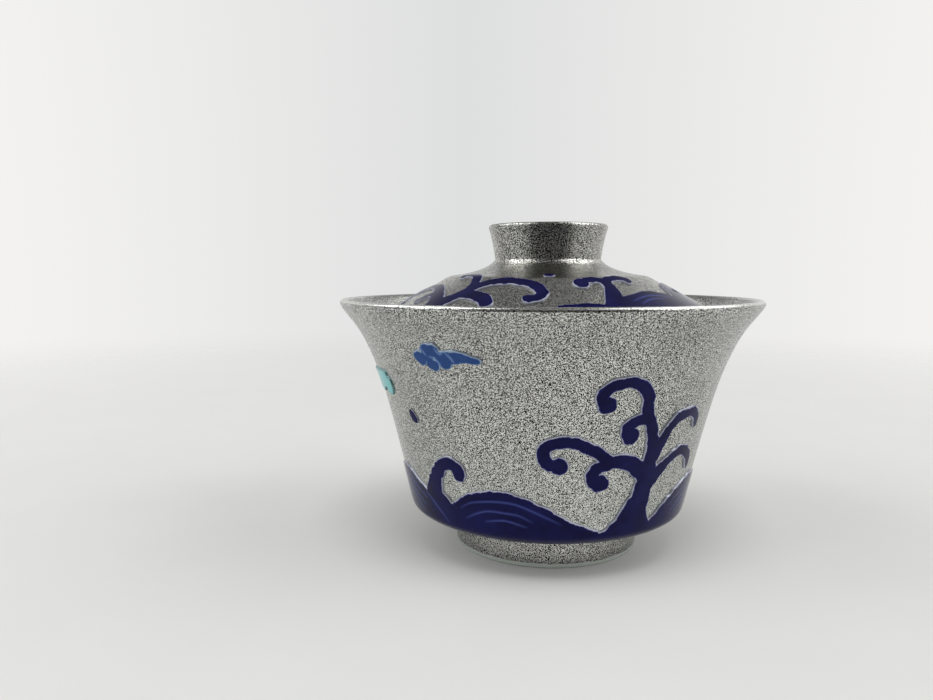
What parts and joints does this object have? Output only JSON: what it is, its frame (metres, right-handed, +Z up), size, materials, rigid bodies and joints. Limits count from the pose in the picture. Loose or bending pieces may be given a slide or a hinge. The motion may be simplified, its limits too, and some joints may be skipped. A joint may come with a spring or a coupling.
{
  "type": "lidded bowl",
  "caption": "Flared tea bowl on a foot ring with a domed lift-off lid and ring knob, silvered ceramic with raised cobalt enamel waves and clouds.",
  "frame": {"origin": "centre of the ring that the foot stands on, at the table", "axes": "+Z up along the bowl's axis, -Y the side that the picture shows, with the tall wave crest to the right of it, +X to that side's right"},
  "size_m": [0.095, 0.095, 0.0736],
  "materials": {
    "silver_glaze": "silvered, with a fine sandy grain",
    "foot_glaze": "silvered with a fine grain, and a bare pale edge where it stands",
    "cobalt_enamel": "glossy raised enamel with a pale outline",
    "steel_blue_enamel": "glossy raised enamel with a pale outline",
    "turquoise_enamel": "glossy raised enamel with a pale outline"
  },
  "bodies": {
    "bowl": {"bowl_body": "silver_glaze", "foot_ring": "foot_glaze", "bowl_wave_enamel": "cobalt_enamel", "bowl_cloud_blue": "steel_blue_enamel", "bowl_cloud_turquoise": "turquoise_enamel", "bowl_spray_drop": "cobalt_enamel"},
    "lid": {"lid_dome": "silver_glaze", "lid_knob": "silver_glaze", "lid_wave_enamel": "cobalt_enamel", "lid_spray_drop": "cobalt_enamel"}
  },
  "joints": [
    {"name": "lid_lift", "type": "slide", "parent": "bowl", "child": "lid", "axis": [0, 0, 1], "range_m": [0, 0.06]}
  ]
}
